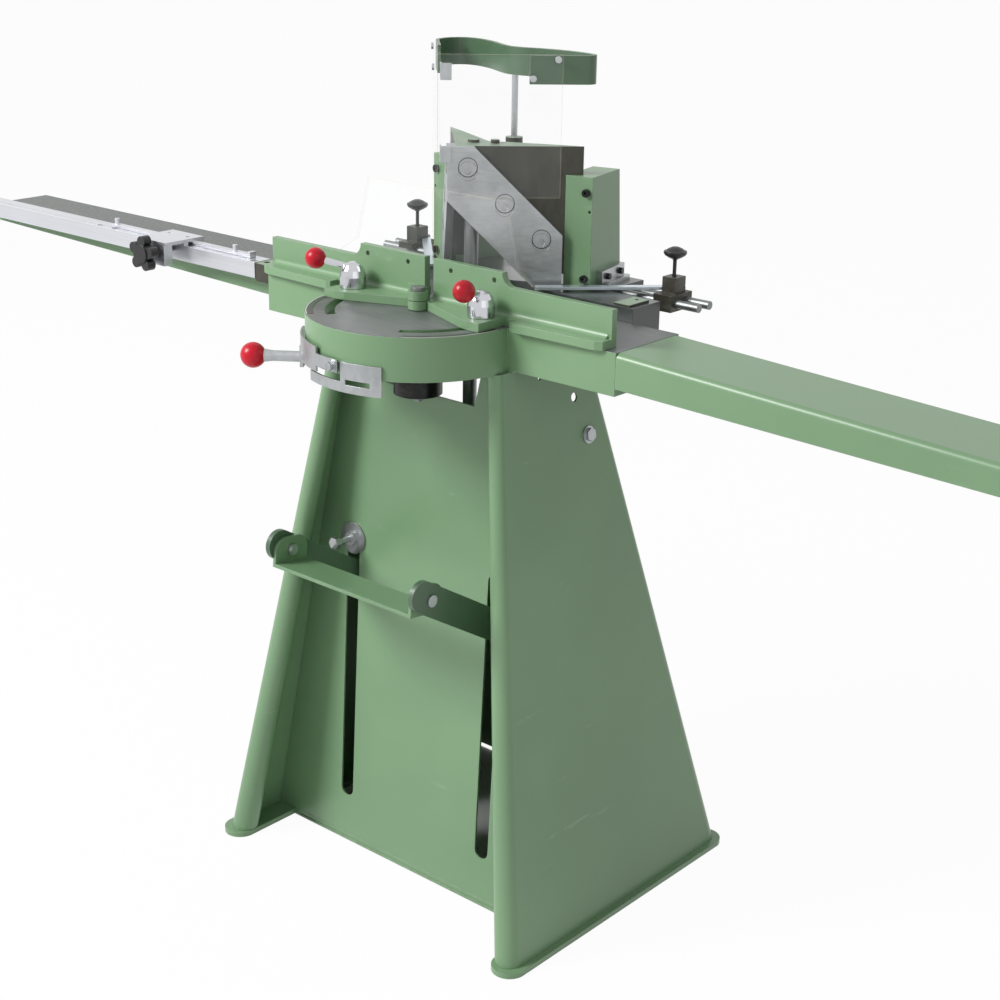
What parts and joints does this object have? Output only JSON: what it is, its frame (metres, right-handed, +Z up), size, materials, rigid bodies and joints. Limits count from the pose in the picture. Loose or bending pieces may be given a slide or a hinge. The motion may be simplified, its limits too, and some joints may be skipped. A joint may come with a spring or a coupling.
{
  "type": "mitre guillotine",
  "caption": "Foot-operated guillotine that mitres picture frame mouldings: V knives on columns, swinging fences, side arms and a pedal stand.",
  "frame": {"origin": "On the floor, straight below the pin that both fences swing on", "axes": "+X is the operator's right along the side arms, +Y points away from the operator, +Z is up"},
  "size_m": [2.09, 0.5495, 1.207],
  "materials": {
    "green_paint": "satin enamel",
    "dark_paint": "gloss enamel, oily",
    "machined_steel": "machined",
    "oiled_steel": "dark oily steel",
    "bright_steel": "ground bright",
    "chrome": "polished",
    "aluminium": "extruded",
    "black_plastic": "moulded",
    "black_steel": "blackened",
    "red_plastic": "polished ball",
    "clear_plastic": "clear sheet",
    "scale_enamel": "white enamel"
  },
  "bodies": {
    "frame": {"stand_left": "green_paint", "stand_right": "green_paint", "stand_panel": "green_paint", "foot_left": "green_paint", "foot_right": "green_paint", "stand_bolts": "bright_steel", "slot_stop": "bright_steel", "table": "green_paint", "scales": "scale_enamel", "fence_pin": "bright_steel", "bed": "dark_paint", "quadrant": "bright_steel", "arm_left": "green_paint", "arm_rail": "aluminium", "rail_bracket": "machined_steel", "arm_right": "green_paint"},
    "pedal": {"pedal_arm_left": "green_paint", "pedal_arm_right": "green_paint", "pedal_shaft": "oiled_steel", "pedal_bar": "oiled_steel", "pedal_tread": "green_paint", "tread_bolts": "bright_steel"},
    "carriage": {"carriage": "dark_paint", "column_left": "green_paint", "column_right": "green_paint", "column_feet": "machined_steel", "column_screws": "black_steel", "support_rods_left": "black_steel", "support_rods_right": "black_steel", "finger_plate": "chrome"},
    "head": {"knife_block": "oiled_steel", "knife_left": "bright_steel", "knife_right": "bright_steel", "knife_screws": "oiled_steel", "pull_rod": "oiled_steel"},
    "guard": {"guard_bow": "green_paint", "guard_rod": "bright_steel", "guard_glass_left": "clear_plastic", "guard_glass_right": "clear_plastic", "guard_clips": "chrome"},
    "left_fence": {"fence_left": "green_paint", "fence_shield_left": "clear_plastic", "clamp_stud_left": "bright_steel"},
    "right_fence": {"fence_right": "green_paint", "fence_shield_right": "clear_plastic", "clamp_stud_right": "bright_steel"},
    "left_clamp": {"clamp_left": "chrome", "clamp_ball_left": "red_plastic"},
    "right_clamp": {"clamp_right": "chrome", "clamp_ball_right": "red_plastic"},
    "feed": {"feed_hub": "black_steel", "feed_band": "bright_steel", "feed_lever": "bright_steel", "feed_ball": "red_plastic"},
    "stop": {"stop_slider": "bright_steel"},
    "stop_screw": {"stop_knob": "black_plastic"},
    "left_support": {"support_left": "machined_steel"},
    "right_support": {"support_right": "machined_steel"},
    "left_support_screw": {"support_knob_left": "black_plastic"},
    "right_support_screw": {"support_knob_right": "black_plastic"}
  },
  "joints": [
    {"name": "pedal_swing", "type": "hinge", "parent": "frame", "child": "pedal", "pos_m": [0, 0.252, 0.291], "axis": [1, 0, 0], "range_deg": [0, 55], "stiffness_Nm_per_rad": 30, "springref_deg": -77.35},
    {"name": "carriage_feed", "type": "slide", "parent": "frame", "child": "carriage", "axis": [0, 1, 0], "range_m": [0, 0.045]},
    {"name": "head_stroke", "type": "slide", "parent": "carriage", "child": "head", "axis": [0, 0, -1], "range_m": [0, 0.1456]},
    {"name": "guard_drop", "type": "slide", "parent": "carriage", "child": "guard", "axis": [0, 0, -1], "range_m": [0, 0.118]},
    {"name": "feed_swing", "type": "hinge", "parent": "frame", "child": "feed", "pos_m": [0, 0, 0.797], "axis": [0, 0, 1], "range_deg": [0, 24]},
    {"name": "left_fence_swing", "type": "hinge", "parent": "frame", "child": "left_fence", "pos_m": [0, 0, 0.9], "axis": [0, 0, 1], "range_deg": [0, 45]},
    {"name": "right_fence_swing", "type": "hinge", "parent": "frame", "child": "right_fence", "pos_m": [0, 0, 0.9], "axis": [0, 0, 1], "range_deg": [-45, 0]},
    {"name": "left_clamp_turn", "type": "hinge", "parent": "left_fence", "child": "left_clamp", "pos_m": [-0.12, -0.006, 0.9], "axis": [0, 0, 1], "range_deg": [-15, 70]},
    {"name": "right_clamp_turn", "type": "hinge", "parent": "right_fence", "child": "right_clamp", "pos_m": [0.12, -0.006, 0.9], "axis": [0, 0, 1], "range_deg": [-60, 60]},
    {"name": "stop_slide", "type": "slide", "parent": "frame", "child": "stop", "axis": [1, 0, 0], "range_m": [-0.34, 0.02]},
    {"name": "stop_screw_turn", "type": "hinge", "parent": "stop", "child": "stop_screw", "pos_m": [-0.534, -0.045, 0.872], "axis": [0, -1, 0], "range_deg": [-180, 180]},
    {"name": "left_support_slide", "type": "slide", "parent": "carriage", "child": "left_support", "axis": [-1, 0, 0], "range_m": [0, 0.03]},
    {"name": "right_support_slide", "type": "slide", "parent": "carriage", "child": "right_support", "axis": [1, 0, 0], "range_m": [0, 0.03]},
    {"name": "left_support_screw_turn", "type": "hinge", "parent": "left_support", "child": "left_support_screw", "pos_m": [-0.243, 0.254, 0.92], "axis": [0, 0, 1], "range_deg": [-180, 180]},
    {"name": "right_support_screw_turn", "type": "hinge", "parent": "right_support", "child": "right_support_screw", "pos_m": [0.243, 0.254, 0.92], "axis": [0, 0, 1], "range_deg": [-180, 180]}
  ],
  "couplings": [
    {"joint": "head_stroke", "follows": "pedal_swing", "m_per_rad": 0.15167},
    {"joint": "guard_drop", "follows": "pedal_swing", "m_per_rad": 0.1229},
    {"joint": "carriage_feed", "follows": "feed_swing", "m_per_rad": 0.1074}
  ]
}
